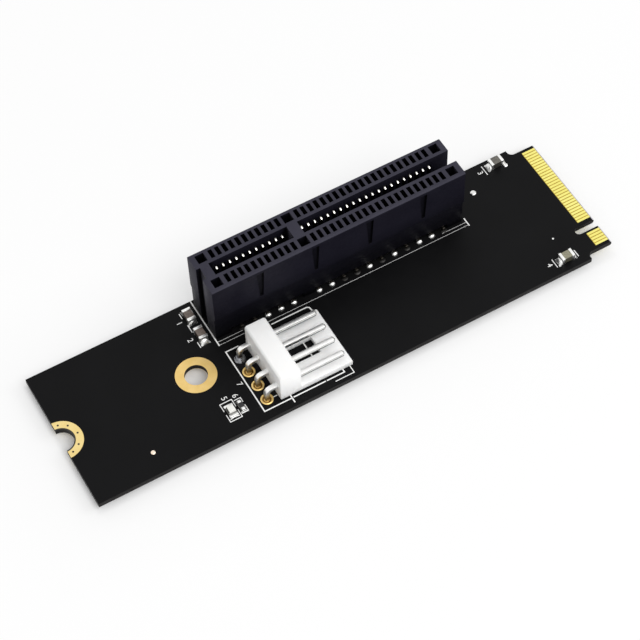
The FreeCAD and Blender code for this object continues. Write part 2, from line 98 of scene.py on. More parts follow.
# Middle span of a noise that is drawn out to run from 0 to 1
WIDE_SPAN = (0.3, 0.7)
NARROW_SPAN = (0.35, 0.65)

# Rays that feel for what stands near a point of a surface
NEARNESS_RAYS = 12

# Bare laminate starts this far before the fingers and the bevel this far past them, in millimetres
BARE_MARGIN = 0.05
BEVEL_MARGIN = 0.04

# Gold plate, in millimetres: its grain, and the blotches of its gloss and of its tone
GOLD_GRAIN = 0.3
GOLD_GLOSS_BLOTCH = 0.6
GOLD_TONE_BLOTCH = 1.2

# Radius to which the solder mask laps over the gold of the end notch, in millimetres
RING_LAP = 1.93

# Half the width of the painted highlight on the tin of the resistor's ends, in millimetres
TIN_HIGHLIGHT_REACH = 0.22

# Power pins, in millimetres: the height of the painted shadow line along the lower edge of their sides, the
# length of it that lies over the tray, and the heights above the board at which the painted shade on their
# foot starts and is full
SHADOW_LINE_HEIGHT = 0.2
PIN_OVER_TRAY = 7.1
PIN_PLAIN_ABOVE = 1.5
PIN_DARK_BELOW = 0.6

# Slot contacts, in millimetres: their pitch, and how far the painted highlight lies below their tops and
# reaches
CONTACT_PITCH = 1.0
HIGHLIGHT_BELOW_TOP = 0.33
HIGHLIGHT_REACH = 0.085

# Slot plastic: its gloss, the heights above the board in millimetres between which its painted shade fades
# from dark to plain, and the share of its colour that it keeps at the lower one
SLOT_GLOSS = 0.07
SLOT_DARK_BELOW = 2.0
SLOT_PLAIN_ABOVE = 7.0
SLOT_DARK_SHARE = 0.22

# Light inside the white plastic: its depth in millimetres, and how far red, green and blue carry
GLOW_DEPTH = 0.6
GLOW_COLOUR = (1.0, 0.95, 0.9)

# Share of the capacitors' darker tone that their side faces keep, as painted shade
SIDE_SHADE_SHARE = 0.3

# Width of the dark seam between the lamp's lens and its front end cap, in millimetres
LENS_SEAM = 0.06

# Rounding: faces that turn by less than FLAT_ANGLE are joined, and edges past SHARP_ANGLE are rounded
FLAT_ANGLE = math.radians(1)
SHARP_ANGLE = math.radians(25)
ROUND_PROFILE = 0.5

# Points closer than these are merged, before the rounding and after it, in millimetres
WELD = 1e-4
SLIVER = 1e-3

# Edges that turn by more than this stay sharp in the shading
SMOOTH_ANGLE = math.radians(38)

# Sides of a turned piece, and of a very small one
ROUND_STEPS = 20
DOT_STEPS = 12

# Points this close to the lowest one belong to the tip of a tail, in millimetres
TIP_DEPTH = 0.1

# Printed white ink: its thickness and the widths of its lines in millimetres
INK_THICKNESS = 0.012
INK_LINE = 0.18
INK_HAIRLINE = 0.12
INK_FAINT = 0.045

# Printed lines beside each node: width, and points in millimetres from the node's lowest corner
LEGEND_LINES = {
    "slot_housing": [
        (INK_LINE, [(-0.1, 7.55), (-0.1, -0.75)]),
        (INK_FAINT, [(-0.1, -0.75), (39.5, -0.75)]),
        (INK_FAINT, [(0.05, -0.2), (5.5, -0.2)]),
        (INK_FAINT, [(35.5, -0.2), (39.4, -0.2)]),
        (INK_LINE, [(39.5, -0.85), (39.5, 0.45)]),
    ],
    "power_header_body": [
        (INK_LINE, [(-0.9, 10.4), (-2.75, 10.4), (-2.75, -0.45), (1.3, -0.45)]),
        (INK_LINE, [(1.4, -1.15), (1.4, 0.1)]),
        (INK_LINE, [(1.7, -0.45), (6.45, -0.45)]),
        (INK_LINE, [(6.8, -0.45), (9.4, -0.45), (9.4, -0.05)]),
        (INK_HAIRLINE, [(7.7, -1.15), (10.5, -1.15), (10.5, -0.05)]),
        (INK_LINE, [(4.8, 11.2), (10.2, 11.2), (10.5, 11.0), (10.6, 10.35)]),
        (INK_LINE, [(6.95, 0.4), (6.95, 9.4)]),
    ],
    "led_ends": [
        (INK_HAIRLINE, [(-0.225, 0.775), (-0.225, -0.4), (1.525, -0.4), (1.525, 0.775)]),
        (INK_HAIRLINE, [(-0.225, 1.475), (-0.225, 2.65), (1.525, 2.65), (1.525, 1.475)]),
    ],
    "resistor_ends": [
        (INK_HAIRLINE, [(0.05, 2.1), (0.95, 2.1), (0.95, 1.4)]),
        (INK_HAIRLINE, [(0.05, -0.18), (0.95, -0.18), (0.95, 0.8)]),
    ],
    "capacitor_1_ends": [
        (INK_HAIRLINE, [(-0.25, 1.45), (-0.25, 2.3)]),
        (INK_HAIRLINE, [(1.45, 1.65), (1.45, 2.65)]),
    ],
    "capacitor_2_ends": [
        (INK_HAIRLINE, [(-0.1, 2.25), (-0.1, 3.45)]),
        (INK_HAIRLINE, [(-0.25, -0.55), (-0.25, 0.35)]),
    ],
    "capacitor_3_ends": [
        (INK_HAIRLINE, [(-0.9, -0.275), (-0.9, 1.325)]),
    ],
    "capacitor_4_ends": [
        (INK_HAIRLINE, [(-0.78, 0.075), (-0.78, 1.475)]),
        (INK_HAIRLINE, [(2.75, 0.175), (2.75, 1.275)]),
    ],
}

# Plain numerals: the node that each stands by, and its middle in millimetres from the node's lowest corner
NUMERALS = [
    ("1", "capacitor_1_ends", -0.95, 0.95),
    ("2", "capacitor_2_ends", -0.95, 1.15),
    ("3", "capacitor_3_ends", -1.65, 0.475),
    ("4", "capacitor_4_ends", -1.55, 0.875),
    ("5", "led_ends", 0.725, 3.25),
    ("6", "resistor_ends", 0.45, 2.7),
    ("7", "power_header_body", -3.6, 5.0),
    ("1", "power_header_body", -0.5, 0.95),
]
NUMERAL_HEIGHT = 1.15
NUMERAL_TURN = math.radians(-90)

# A printed dot: its place on the board and its radius, in millimetres
DOT_PLACE = (73.25, 5.57)
DOT_RADIUS = 0.14

# Solder round the slot's tails, in millimetres: a cone below the board and a bead above it, with the ranges
# that their heights vary in, and the share of its height that a starved bead keeps
TAIL_CONE = {"foot": 0.62, "tip": 0.28, "cap": 0.05, "power": 2.4}
TAIL_CONE_HEIGHT = 0.75
TAIL_CONE_RANGE = (0.85, 1.1)
TAIL_BEAD_RADIUS = 0.5
TAIL_BEAD_HEIGHT = 0.47
TAIL_BEAD_RANGE = (0.9, 1.15)
STARVED_SHARE = 0.3
SOLDER_SEED = 7

# Tails whose beads aren't starved: their places along the board in millimetres, and how near to one of
# these a tail has to be
PROUD_TAILS = (33, 35, 37, 41, 43, 49, 53, 57, 59)
PROUD_WITHIN = 0.5

# Solder round the header's pins, in millimetres: a cone below the board, and a mound above it at one pin
PIN_CONE = {"foot": 1.0, "tip": 0.48, "height": 1.0, "cap": 0.05, "power": 2.4}
PIN_MOUND = {"foot": 0.88, "tip": 0.4, "height": 0.55, "cap": 0.01, "power": 0.8}
MOUND_PIN = "power_pin_4"

# Gold lands of the other pins, in millimetres: a rounded rim, a shallow well inside it, and a bead off the
# well's middle
LAND_INNER = 0.58
LAND_OUTER = 0.9
LAND_HEIGHT = 0.09
WELL_PROFILE = [(LAND_INNER, 0.0), (LAND_INNER, 0.03), (0.46, 0.02), (0.0, 0.02)]
BEAD_PROFILE = [(0.4, 0.02), (0.42, 0.06), (0.4, 0.1), (0.0, 0.11)]
BEAD_OFF_X = -0.06
BEAD_OFF_Y = -0.08

# Solder at the ends of the chips, in millimetres: how far it reaches out from a capacitor, from one that
# stands close to another, and from a small chip, and how far it spreads past the chip's sides
CAPACITOR_REACH = 0.5
CLOSE_REACH = 0.24
SMALL_REACH = 0.12
SIDE_SPREAD = 0.06

# Share of the chip's height that this solder climbs, and of its own height that it loses towards its sides
CLIMB_SHARE = 0.55
SIDE_LOSS = 0.9

# Chip ends that face another chip close by, each with the way it looks along its axis
CLOSE_ENDS = {("capacitor_1_ends", -1), ("capacitor_2_ends", 1)}

# Single beads on the board, in millimetres: place, radius and height
LAND_BEAD = {"x": 74.6, "y": 19.85, "radius": 0.36, "height": 0.235}
GOLD_POINT = {"x": 9.6, "y": 3.3, "radius": 0.33, "height": 0.09}
TINNED_POINT = {"x": 68.0, "y": 18.0, "radius": 0.46, "height": 0.22}

# Filled holes of the half ring: the radius of their circle about the notch in millimetres, their angles in
# degrees, and their profile above the ring's top face
RING_HOLE_CIRCLE = 2.4
RING_HOLE_ANGLES = (-75, -43, 0, 43, 75)
RING_HOLE_PROFILE = [(0.15, -0.01), (0.15, 0.004), (0.1, 0.001), (0.0, 0.0)]


# Places read from the frame

def at(x, y, z=0.0):
    """A point in millimetres from the board's notch end, its front edge and its top face."""
    return Vector((BOARD_LOW.x + x * MM, BOARD_LOW.y + y * MM, BOARD_HIGH.z + z * MM))


def on_board(point):
    """The other way round: x, y and z in millimetres of a point in the part's frame."""
    return ((point.x - BOARD_LOW.x) / MM, (point.y - BOARD_LOW.y) / MM, (point.z - BOARD_HIGH.z) / MM)


def beside(node, x, y):
    """The place on the board of a point given in millimetres from a node's lowest corner."""
    corner_x, corner_y, _ = on_board(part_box(node)[0])
    return corner_x + x, corner_y + y


def islands(node):
    """The corner points of each separate solid of a CAD node."""
    bm = bmesh.new()
    bm.from_mesh(NODES[node].data)
    bmesh.ops.remove_doubles(bm, verts=bm.verts, dist=WELD * MM)
    left = set(bm.verts)
    found = []
    while left:
        group = [left.pop()]
        for vert in group:
            for edge in vert.link_edges:
                other = edge.other_vert(vert)
                if other in left:
                    left.remove(other)
                    group.append(other)
        found.append([vert.co.copy() for vert in group])
    bm.free()
    return sorted(found, key=lambda points: (min(p.x for p in points), min(p.y for p in points)))


def key_gap(node):
    """Where the widest gap in a row of fingers starts and ends along Y."""
    spans = sorted((min(p.y for p in points), max(p.y for p in points)) for points in islands(node))
    gaps = [(after[0] - before[1], before[1], after[0]) for before, after in zip(spans, spans[1:])]
    return max(gaps)[1:]


def tail_place(points):
    """Where a tail or a pin passes through the board, in board millimetres."""
    lowest = min(p.z for p in points)
    tip = [p for p in points if p.z < lowest + TIP_DEPTH * MM]
    x, y, _ = on_board(sum(tip, Vector()) / len(tip))
    return x, y


# Materials

def srgb(*levels):
    """A linear colour from its sRGB levels, 0 to 255."""
    shares = [level / 255 for level in levels]
    return tuple(s / 12.92 if s <= 0.04045 else ((s + 0.055) / 1.055) ** 2.4 for s in shares)


def seen_directly(tree):
    """1 for rays from the camera, off gloss or through clear plastic, 0 for the light on other things."""
    path = tree.nodes.new("ShaderNodeLightPath")
    seen = path.outputs["Is Camera Ray"]
    for kind in ("Is Glossy Ray", "Is Transmission Ray"):
        either = tree.nodes.new("ShaderNodeMath")
        either.operation = "MAXIMUM"
        tree.links.new(seen, either.inputs[0])
        tree.links.new(path.outputs[kind], either.inputs[1])
        seen = either.outputs[0]
    return seen


class Finish:
    """A material on the principled shader, with procedural detail in millimetres."""

    def __init__(self, name, colour, roughness, metallic=0.0, specular=0.5):
        self.made = bpy.data.materials.new(name)
        self.made.use_nodes = True
        self.tree = self.made.node_tree
        self.nodes = self.tree.nodes
        self.links = self.tree.links
        self.shader = self.nodes["Principled BSDF"]
        self.set("Base Color", (*colour, 1.0))
        self.set("Roughness", roughness)
        self.set("Metallic", metallic)
        self.set("Specular IOR Level", specular)
        self.place = self.nodes.new("ShaderNodeTexCoord").outputs["Object"]

    def set(self, socket, value):
        """Give the shader a value that is the same all over the surface."""
        self.shader.inputs[socket].default_value = value

    def drive(self, socket, source):
        """Let a node's output give the shader a value that changes over the surface."""
        self.links.new(source, self.shader.inputs[socket])

    def math(self, operation, first, second=0.0):
        """The result of a Math node; each value is a number or a socket."""
        node = self.nodes.new("ShaderNodeMath")
        node.operation = operation
        for socket, value in zip(node.inputs, (first, second)):
            if isinstance(value, (int, float)):
                socket.default_value = value
            else:
                self.links.new(value, socket)
        return node.outputs[0]

    def all_of(self, *shares):
        """The product of some shares, which is 1 only where each of them is."""
        product = shares[0]
        for share in shares[1:]:
            product = self.math("MULTIPLY", product, share)
        return product

    def length(self, first, second):
        """The length of a line from its reach along two axes."""
        squares = [self.math("POWER", part, 2.0) for part in (first, second)]
        return self.math("SQRT", self.math("ADD", *squares))

    def noise(self, size, stretch=(1, 1, 1), detail=3.0):
        """Cloudy noise whose blotches are about this many millimetres across."""
        mapping = self.nodes.new("ShaderNodeMapping")
        mapping.inputs["Scale"].default_value = [1 / s for s in stretch]
        self.links.new(self.place, mapping.inputs["Vector"])
        texture = self.nodes.new("ShaderNodeTexNoise")
        texture.inputs["Scale"].default_value = 1 / (size * MM)
        texture.inputs["Detail"].default_value = detail
        self.links.new(mapping.outputs[0], texture.inputs["Vector"])
        return texture.outputs["Fac"]

    def spread(self, source, low, high, out_low=0.0, out_high=1.0):
        """A value that goes from out_low to out_high while its source goes from low to high."""
        node = self.nodes.new("ShaderNodeMapRange")
        limits = {"From Min": low, "From Max": high, "To Min": out_low, "To Max": out_high}
        for name, value in limits.items():
            node.inputs[name].default_value = value
        self.links.new(source, node.inputs["Value"])
        return node.outputs["Result"]

    def soft_below(self, source, edge, blur):
        """1 where a value is below an edge and 0 where it is above, with a soft step between."""
        return self.spread(source, edge + blur, edge - blur)

    def drift(self, size, stretch=(1, 1, 1), detail=3.0, span=WIDE_SPAN):
        """Noise with its middle span drawn out to run from 0 to 1."""
        return self.spread(self.noise(size, stretch, detail), *span)

    def blend(self, factor, first, second):
        """A colour that goes from the first to the second; each is a colour or a socket."""
        node = self.nodes.new("ShaderNodeMix")
        node.data_type = "RGBA"
        self.links.new(factor, node.inputs["Factor"])
        for name, colour in (("A", first), ("B", second)):
            socket = next(s for s in node.inputs if s.name == name and s.type == "RGBA")
            if isinstance(colour, tuple):
                socket.default_value = (*colour, 1.0)
            else:
                self.links.new(colour, socket)
        return next(s for s in node.outputs if s.type == "RGBA")

    def uneven(self, size, smoothest, roughest):
        """Roughness that drifts between two values, in blotches of about this many millimetres."""
        self.drive("Roughness", self.spread(self.noise(size), *WIDE_SPAN, smoothest, roughest))

    def relief(self, source, depth, strength):
        """Bumps whose depth is given in millimetres."""
        bump = self.nodes.new("ShaderNodeBump")
        bump.inputs["Strength"].default_value = strength
        bump.inputs["Distance"].default_value = depth * MM
        self.links.new(source, bump.inputs["Height"])
        self.drive("Normal", bump.outputs["Normal"])

    def along(self, axis):
        """The place along an axis of the part's frame, in metres."""
        parts = self.nodes.new("ShaderNodeSeparateXYZ")
        self.links.new(self.place, parts.inputs[0])
        return parts.outputs[axis]

    def past(self, axis, place):
        """1 beyond a place on an axis, 0 before it."""
        return self.math("GREATER_THAN", self.along(axis), place)

    def short_of(self, axis, place):
        """1 before a place on an axis, 0 beyond it."""
        return self.math("LESS_THAN", self.along(axis), place)

    def away_from(self, axis, place):
        """The distance from a place on an axis, along that axis, in metres."""
        return self.math("ABSOLUTE", self.math("SUBTRACT", self.along(axis), place))

    def facing(self, axis, low, high):
        """0 on faces that look across an axis, 1 on faces that look along it, with a soft step between."""
        parts = self.nodes.new("ShaderNodeSeparateXYZ")
        self.links.new(self.nodes.new("ShaderNodeNewGeometry").outputs["Normal"], parts.inputs[0])
        return self.spread(self.math("ABSOLUTE", parts.outputs[axis]), low, high)

    def level_share(self):
        """1 on faces that look up or down, 0 on side walls."""
        return self.facing("Z", low=0.3, high=0.6)

    def end_share(self):
        """1 on faces that look along the card, 0 on the others."""
        return self.facing("X", low=0.5, high=0.9)

    def openness(self, reach, shut, clear):
        """1 where nothing stands within this many millimetres, down to 0 in the bottom of a recess."""
        node = self.nodes.new("ShaderNodeAmbientOcclusion")
        node.samples = NEARNESS_RAYS
        node.inputs["Distance"].default_value = reach * MM
        return self.spread(node.outputs["AO"], shut, clear)


def board_mask():
    """Black solder mask with a faint orange peel, bare laminate round the fingers and a pale bevel."""
    finish = Finish("board_mask", srgb(14, 14, 15), roughness=0.45, specular=0.08)
    mask = finish.blend(finish.drift(9.0, detail=4.0), srgb(12, 12, 13), srgb(16, 16, 17))
    fibres = finish.drift(0.3, stretch=(3, 3, 1))
    cut_side = finish.blend(fibres, srgb(16, 15, 15), srgb(34, 32, 31))
    laminate = finish.blend(fibres, srgb(172, 146, 62), srgb(188, 164, 78))
    bevel = finish.blend(fibres, srgb(168, 164, 170), srgb(200, 197, 204))
    low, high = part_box("edge_fingers_top")
    key_low, key_high = key_gap("edge_fingers_top")
    from_fingers = finish.past("X", low.x - BARE_MARGIN * MM)
    among_fingers = finish.math("LESS_THAN", finish.away_from("Y", 0.0), high.y)
    beside_key = finish.math("MAXIMUM", finish.past("Y", key_high), finish.short_of("Y", key_low))
    bare = finish.all_of(from_fingers, among_fingers, beside_key)
    at_bevel = finish.past("X", high.x + BEVEL_MARGIN * MM)
    level = finish.blend(at_bevel, finish.blend(bare, mask, laminate), bevel)
    finish.drive("Base Color", finish.blend(finish.level_share(), cut_side, level))
    finish.uneven(1.2, smoothest=0.4, roughest=0.52)
    finish.relief(finish.noise(0.5), depth=0.003, strength=0.2)
    return finish.made


def gold(name, light, dark, roughness, stretch=(1, 1, 1)):
    """Gold plate with brushed grain and uneven tone."""
    finish = Finish(name, light, roughness, metallic=1.0)
    finish.drive("Base Color", finish.blend(finish.drift(GOLD_TONE_BLOTCH, stretch), light, dark))
    finish.uneven(GOLD_GLOSS_BLOTCH, smoothest=roughness - 0.05, roughest=roughness + 0.08)
    finish.relief(finish.noise(GOLD_GRAIN, stretch), depth=0.003, strength=0.2)
    return finish.made


def notch_gold():
    """Gold of the half ring, with the solder mask lapping over its inner edge."""
    light = srgb(246, 222, 154)
    finish = Finish("notch_gold", light, roughness=0.28, metallic=1.0)
    plate = finish.blend(finish.drift(GOLD_TONE_BLOTCH), light, srgb(239, 212, 140))
    from_end = finish.math("SUBTRACT", finish.along("X"), BOARD_LOW.x)
    radius = finish.length(from_end, finish.along("Y"))
    lap = finish.soft_below(radius, RING_LAP * MM, blur=0.03 * MM)
    finish.drive("Base Color", finish.blend(lap, plate, srgb(16, 15, 14)))
    finish.drive("Metallic", finish.spread(lap, 0.0, 1.0, out_low=1.0, out_high=0.0))
    finish.uneven(GOLD_GLOSS_BLOTCH, smoothest=0.23, roughest=0.36)
    finish.relief(finish.noise(GOLD_GRAIN), depth=0.003, strength=0.2)
    return finish.made


def metal(name, light, dark, roughness, lumps=0.004):
    """Tin or solder, with slow drifts of tone and an uneven skin whose lumps are as deep as given."""
    finish = Finish(name, light, roughness, metallic=1.0)
    finish.drive("Base Color", finish.blend(finish.drift(0.8, span=NARROW_SPAN), light, dark))
    finish.uneven(0.6, smoothest=roughness - 0.06, roughest=roughness + 0.08)
    finish.relief(finish.noise(0.5), depth=lumps, strength=0.15 + 4 * lumps)
    return finish.made


def tin_painted_highlight():
    """Tin of the resistor's ends, with a painted highlight along the middle and painted shade towards the
    sides.
    """
    finish = Finish("tin_painted_highlight", srgb(250, 250, 248), roughness=0.34, metallic=1.0)
    tone = finish.drift(0.8, span=NARROW_SPAN)
    painted_dark = finish.blend(tone, srgb(112, 112, 110), srgb(92, 92, 90))
    bright = finish.blend(tone, srgb(252, 252, 250), srgb(242, 242, 240))
    low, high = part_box("resistor_ends")
    off_middle = finish.away_from("X", (low.x + high.x) / 2)
    # Painted highlight along the middle of the ends, painted shade towards their sides
    highlight_band = finish.soft_below(off_middle, TIN_HIGHLIGHT_REACH * MM, blur=0.05 * MM)
    finish.drive("Base Color", finish.blend(highlight_band, painted_dark, bright))
    finish.uneven(0.6, smoothest=0.28, roughest=0.42)
    finish.relief(finish.noise(0.5), depth=0.004, strength=0.17)
    return finish.made


def pin_plate():
    """Bright tin on the pins, with painted shade on the foot, and a painted shadow line along the lower
    edge over the tray.
    """
    finish = Finish("pin_plate", srgb(250, 250, 248), roughness=0.36, metallic=1.0)
    bright = finish.blend(finish.drift(0.8, span=NARROW_SPAN), srgb(252, 252, 250), srgb(244, 244, 242))
    # Painted shade on the legs near the board
    foot = finish.spread(finish.along("Z"), BOARD_HIGH.z + PIN_PLAIN_ABOVE * MM,
                         BOARD_HIGH.z + PIN_DARK_BELOW * MM)
    plate = finish.blend(foot, bright, srgb(98, 86, 66))
    low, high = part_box(POWER_PINS[0])
    underside = high.z - (high.y - low.y)
    # Painted shadow line along the pins' lower edge, where they lie over the tray
    lower_edge = finish.soft_below(finish.along("Z"), underside + SHADOW_LINE_HEIGHT * MM, blur=0.03 * MM)
    shadow_line = finish.all_of(lower_edge, finish.past("X", high.x - PIN_OVER_TRAY * MM))
    finish.drive("Base Color", finish.blend(shadow_line, plate, srgb(70, 69, 68)))
    finish.uneven(0.6, smoothest=0.32, roughest=0.44)
    finish.relief(finish.noise(0.5), depth=0.004, strength=0.15)
    return finish.made


def contact_strip():
    """Strip drawn along its length, painted dark as shade, with a painted highlight on top of its bend."""
    lengthwise = (1, 1, 6)
    finish = Finish("contact_strip", srgb(80, 76, 68), roughness=0.34, metallic=1.0)
    drawn = finish.noise(0.3, lengthwise)
    # Painted shade darkens the strip, and a painted highlight brightens it only on top of its bend
    painted_dark = finish.blend(drawn, srgb(52, 49, 46), srgb(76, 72, 66))
    bright = finish.blend(drawn, srgb(250, 249, 246), srgb(240, 239, 234))
    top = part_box("slot_contacts_back_inner")[1].z
    off_bend = finish.away_from("Z", top - HIGHLIGHT_BELOW_TOP * MM)
    at_bend = finish.soft_below(off_bend, HIGHLIGHT_REACH * MM, blur=0.04 * MM)
    # The distance along the slot from the middle of the nearest contact
    off_centre = finish.math("PINGPONG", finish.along("X"), CONTACT_PITCH / 2 * MM)
    at_middle = finish.soft_below(off_centre, HIGHLIGHT_REACH * MM, blur=0.03 * MM)
    # The painted highlight: a small spot on the bend of each contact
    painted_highlight = finish.all_of(at_bend, at_middle)
    finish.drive("Base Color", finish.blend(painted_highlight, painted_dark, bright))
    finish.uneven(0.4, smoothest=0.28, roughest=0.4)
    finish.relief(finish.noise(0.2, lengthwise), depth=0.003, strength=0.2)
    return finish.made


def moulding(name, light, dark, roughness, grain, glow_through=0.0):
    """Moulded plastic with a fine spark-eroded grain and slow drifts of tone."""
    finish = Finish(name, light, roughness)
    finish.drive("Base Color", finish.blend(finish.drift(3.0, detail=5.0), light, dark))
    finish.uneven(0.5, smoothest=roughness - 0.06, roughest=roughness + 0.08)
    finish.relief(finish.noise(grain, detail=4.0), depth=0.008, strength=0.3)
    finish.set("Subsurface Weight", glow_through)
    finish.set("Subsurface Radius", GLOW_COLOUR)
    finish.set("Subsurface Scale", GLOW_DEPTH * MM)
    return finish.made


def slot_moulding():
    """Black glass-filled plastic, with painted light on level faces and ends and painted shade at foot and
    recesses.
    """
    finish = Finish("slot_plastic", srgb(26, 25, 34), roughness=0.5, specular=SLOT_GLOSS)
    finish.set("Specular Tint", (0.86, 0.85, 1.0, 1.0))
    tone = finish.drift(3.0, detail=5.0)
    # Painted light: level faces and ends take a paler tone than the long walls
    wall = finish.blend(tone, srgb(21, 20, 29), srgb(26, 25, 34))
    level = finish.blend(tone, srgb(55, 54, 64), srgb(60, 59, 69))
    end = finish.blend(tone, srgb(56, 55, 64), srgb(61, 60, 69))
    plain = finish.blend(finish.end_share(), finish.blend(finish.level_share(), wall, level), end)
    # Painted shade towards the foot and in recesses, down to near black
    above_foot = finish.spread(finish.along("Z"), BOARD_HIGH.z + SLOT_DARK_BELOW * MM,
                               BOARD_HIGH.z + SLOT_PLAIN_ABOVE * MM, SLOT_DARK_SHARE, 1.0)
    unshaded_share = finish.all_of(finish.openness(reach=1.2, shut=0.7, clear=0.97), above_foot)
    finish.drive("Base Color", finish.blend(unshaded_share, srgb(4, 4, 6), plain))
    finish.uneven(0.5, smoothest=0.44, roughest=0.58)
    finish.relief(finish.noise(0.2, detail=4.0), depth=0.008, strength=0.3)
    return finish.made


def ceramic(name, light, dark):
    """Fired ceramic with fine specks, with painted shade on its side faces."""
    finish = Finish(name, light, roughness=0.45)
    specks = finish.blend(finish.drift(0.2, detail=5.0, span=NARROW_SPAN), light, dark)
    # Painted shade on the side faces
    side = tuple(SIDE_SHADE_SHARE * part for part in dark)
    finish.drive("Base Color", finish.blend(finish.level_share(), side, specks))
    finish.relief(finish.noise(0.15), depth=0.004, strength=0.25)
    return finish.made


def resistor_coat():
    """Black glaze over white ceramic."""
    finish = Finish("resistor_coat", srgb(26, 26, 28), roughness=0.3)
    coat = finish.blend(finish.noise(0.2), srgb(20, 20, 22), srgb(36, 36, 38))
    finish.drive("Base Color", finish.blend(finish.level_share(), srgb(214, 212, 204), coat))
    finish.relief(finish.noise(0.1), depth=0.004, strength=0.3)
    return finish.made


def lamp_laminate():
    """White laminate of the lamp's base, with painted shade on its faces that look along the card."""
    finish = Finish("lamp_base", srgb(240, 240, 234), roughness=0.4)
    sheet = finish.blend(finish.drift(3.0, detail=5.0), srgb(240, 240, 234), srgb(230, 230, 222))
    # Painted shade on the faces that look along the card
    side_shade = finish.blend(finish.noise(0.2, stretch=(1, 3, 1)), srgb(52, 50, 44), srgb(72, 70, 62))
    finish.drive("Base Color", finish.blend(finish.end_share(), sheet, side_shade))
    finish.relief(finish.noise(0.2, detail=4.0), depth=0.008, strength=0.3)
    return finish.made


def lamp_lens():
    """Milky clear epoxy, with painted shade on its faces that look along the card, and darker along the
    seam with the front end cap.
    """
    finish = Finish("lamp_lens", srgb(252, 252, 248), roughness=0.18)
    milk = finish.blend(finish.noise(0.4), srgb(254, 254, 252), srgb(247, 247, 238))
    # Painted shade on the faces that look along the card
    body = finish.blend(finish.end_share(), milk, srgb(84, 83, 79))
    at_seam = finish.short_of("Y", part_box("led_lens")[0].y + LENS_SEAM * MM)
    finish.drive("Base Color", finish.blend(at_seam, body, srgb(112, 111, 107)))
    finish.set("Transmission Weight", 0.12)
    finish.set("IOR", 1.5)
    return finish.made


def printed_ink():
    """White ink with a slightly broken, raised skin."""
    thin = srgb(232, 232, 230)
    finish = Finish("printed_ink", thin, roughness=0.6)
    finish.drive("Base Color", finish.blend(finish.noise(0.2, detail=5.0), thin, srgb(249, 249, 248)))
    finish.relief(finish.noise(0.08), depth=0.006, strength=0.4)
    return finish.made


def floor_paper():
    """Pale paper that takes the shadow, and shows as white to the camera and to polished metal."""
    finish = Finish("floor_paper", (0.93, 0.93, 0.93), roughness=0.9, specular=0.1)
    finish.drive("Base Color", finish.blend(finish.noise(30.0), (0.92, 0.92, 0.92), (0.94, 0.94, 0.94)))
    past_edges = []
    for axis, half in (("X", BOARD_HIGH.x), ("Y", BOARD_HIGH.y)):
        past_edge = finish.math("SUBTRACT", finish.away_from(axis, 0.0), half)
        past_edges.append(finish.math("MAXIMUM", past_edge, 0.0))
    distance = finish.length(*past_edges)
    beside_card = finish.spread(distance, 0.0, SHADOW_REACH * MM, SHADOW_GLOW, FLOOR_GLOW)
    under_card = finish.spread(distance, 0.0, UNDER_REACH * MM, UNDER_GLOW, FLOOR_GLOW)
    glow_share = finish.math("MINIMUM", beside_card, under_card)
    glow = finish.nodes.new("ShaderNodeEmission")
    mix = finish.nodes.new("ShaderNodeMixShader")
    finish.links.new(finish.all_of(seen_directly(finish.tree), glow_share), mix.inputs["Fac"])
    finish.links.new(finish.shader.outputs[0], mix.inputs[1])
    finish.links.new(glow.outputs[0], mix.inputs[2])
    finish.links.new(mix.outputs[0], finish.nodes["Material Output"].inputs["Surface"])
    return finish.made


# Meshes

def new_piece(name, bm, material, smooth=True):
    """A piece of the part from a finished mesh, with its material."""
    mesh = bpy.data.meshes.new(name)
    bmesh.ops.recalc_face_normals(bm, faces=bm.faces)
    bm.to_mesh(mesh)
    bm.free()
    mesh.materials.append(material)
    if smooth:
        mesh.polygons.foreach_set("use_smooth", [True] * len(mesh.polygons))
        mesh.set_sharp_from_angle(angle=SMOOTH_ANGLE)
    piece = bpy.data.objects.new(name, mesh)
    bpy.context.scene.collection.objects.link(piece)
    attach(piece, BODY)
    return piece


def soften(node, material, width, steps=2):
    """A copy of a CAD solid in its place, with its sharp edges rounded by a width in millimetres."""
    bm = bmesh.new()
    bm.from_mesh(NODES[node].data)
    bmesh.ops.scale(bm, vec=Vector((1, 1, 1)) / MM, verts=bm.verts)
    bmesh.ops.remove_doubles(bm, verts=bm.verts, dist=WELD)
    bmesh.ops.dissolve_limit(bm, angle_limit=FLAT_ANGLE, verts=bm.verts, edges=bm.edges)
    sharp = [edge for edge in bm.edges if edge.is_manifold and edge.calc_face_angle() > SHARP_ANGLE]
    bmesh.ops.bevel(bm, geom=sharp, offset=width, segments=steps, profile=ROUND_PROFILE, affect="EDGES",
                    clamp_overlap=True)
    bmesh.ops.remove_doubles(bm, verts=bm.verts, dist=SLIVER)
    bmesh.ops.dissolve_degenerate(bm, dist=SLIVER, edges=bm.edges)
    bmesh.ops.scale(bm, vec=Vector((1, 1, 1)) * MM, verts=bm.verts)
    piece = new_piece(node + "_finished", bm, material)
    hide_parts(node)


def paint(node, material):
    """Give a CAD node its finish."""
    mesh = NODES[node].data
    mesh.materials.clear()
    mesh.materials.append(material)


def add_face(bm, corners):
    """A face between corners, some of which may be the same point, if three or more are left."""
    unique = list(dict.fromkeys(corners))
    if len(unique) > 2:
        bm.faces.new(unique)


